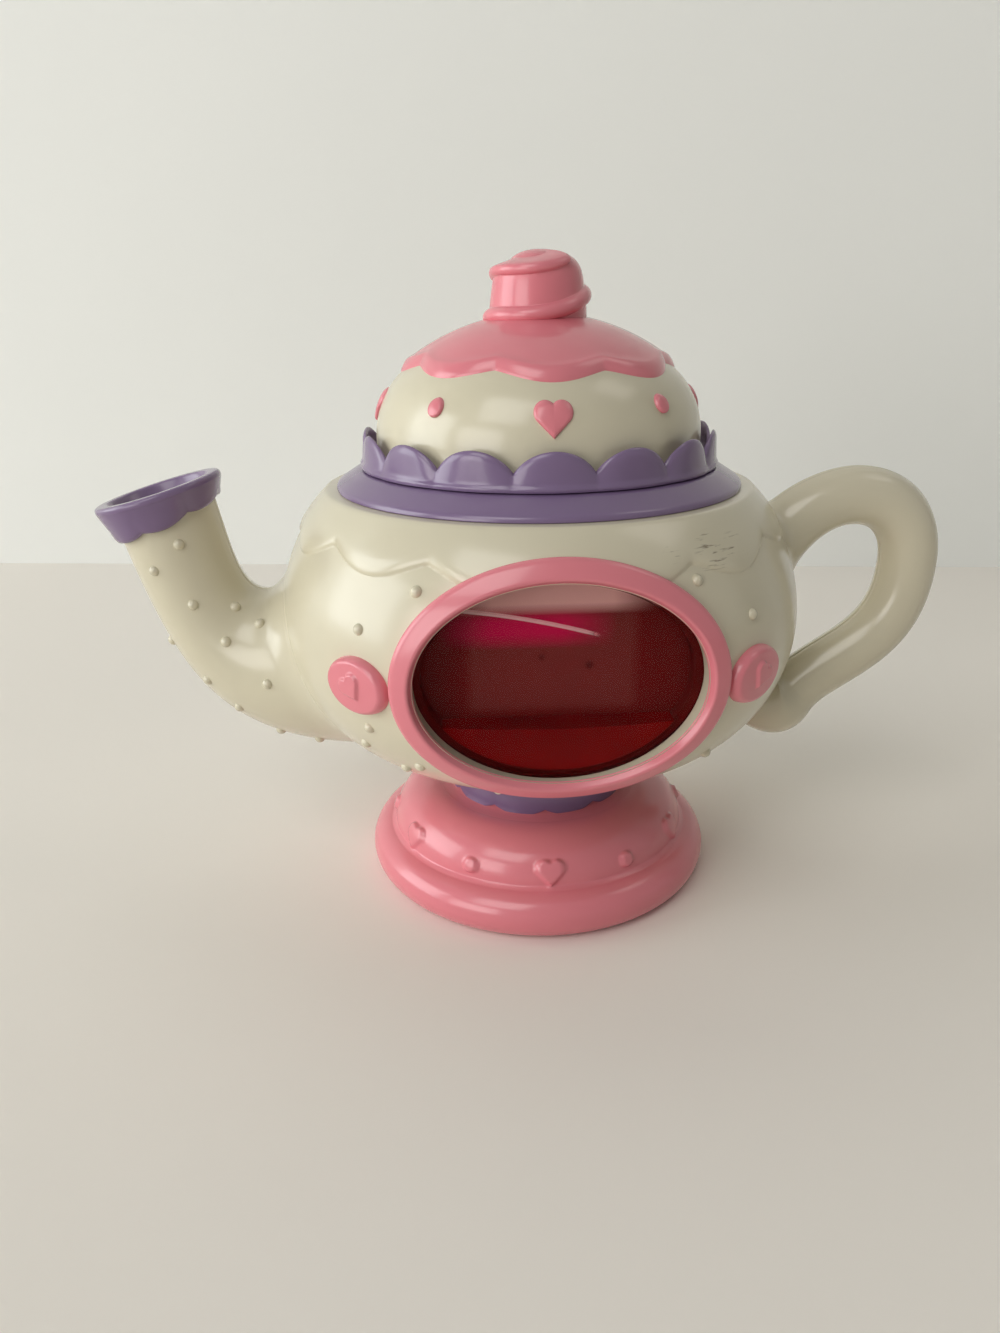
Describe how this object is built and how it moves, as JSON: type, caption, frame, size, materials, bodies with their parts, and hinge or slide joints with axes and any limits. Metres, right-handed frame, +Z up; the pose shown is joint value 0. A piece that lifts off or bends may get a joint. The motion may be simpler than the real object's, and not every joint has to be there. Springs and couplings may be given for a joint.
{
  "type": "toy teapot",
  "caption": "Toy teapot on a round pedestal with a window into sealed red tea, a hollow spout, a loop handle and a lift-off domed lid with a swirled knob.",
  "frame": {"origin": "on the table under the bowl's axis, the centre of the foot's flat underside", "axes": "+Z up, the window faces -Y, the spout points to -X and the handle to +X"},
  "size_m": [0.2311, 0.1367, 0.171],
  "materials": {
    "cream": "moulded, glossy",
    "pink": "moulded, glossy",
    "purple": "moulded, glossy",
    "clear": "clear plastic",
    "red_tea": "red liquid",
    "plug": "soft, matt",
    "steel": "zinc plated"
  },
  "bodies": {
    "pot": {"front_shell": "cream", "rear_shell": "cream", "spout_front": "cream", "spout_rear": "cream", "spout_rim": "purple", "handle_front": "cream", "handle_rear": "cream", "window_frame": "pink", "window_lens": "clear", "tea_tank": "clear", "tea": "red_tea", "filler_plug": "plug", "tank_strap": "cream", "tank_screws": "steel", "left_medallion": "pink", "right_medallion": "pink", "shell_screws": "steel", "collar": "purple", "pedestal": "pink", "neck_skirt": "purple", "foot_plate": "pink", "pedestal_screws": "steel"},
    "lid": {"lid_dome": "cream", "lid_ruffle": "purple", "lid_icing": "pink", "lid_hearts": "pink", "lid_dots": "pink", "lid_knob": "pink", "knob_screw": "steel"}
  },
  "joints": [
    {"name": "lid_lift", "type": "slide", "parent": "pot", "child": "lid", "axis": [0, 0, 1], "range_m": [0, 0.06]}
  ]
}
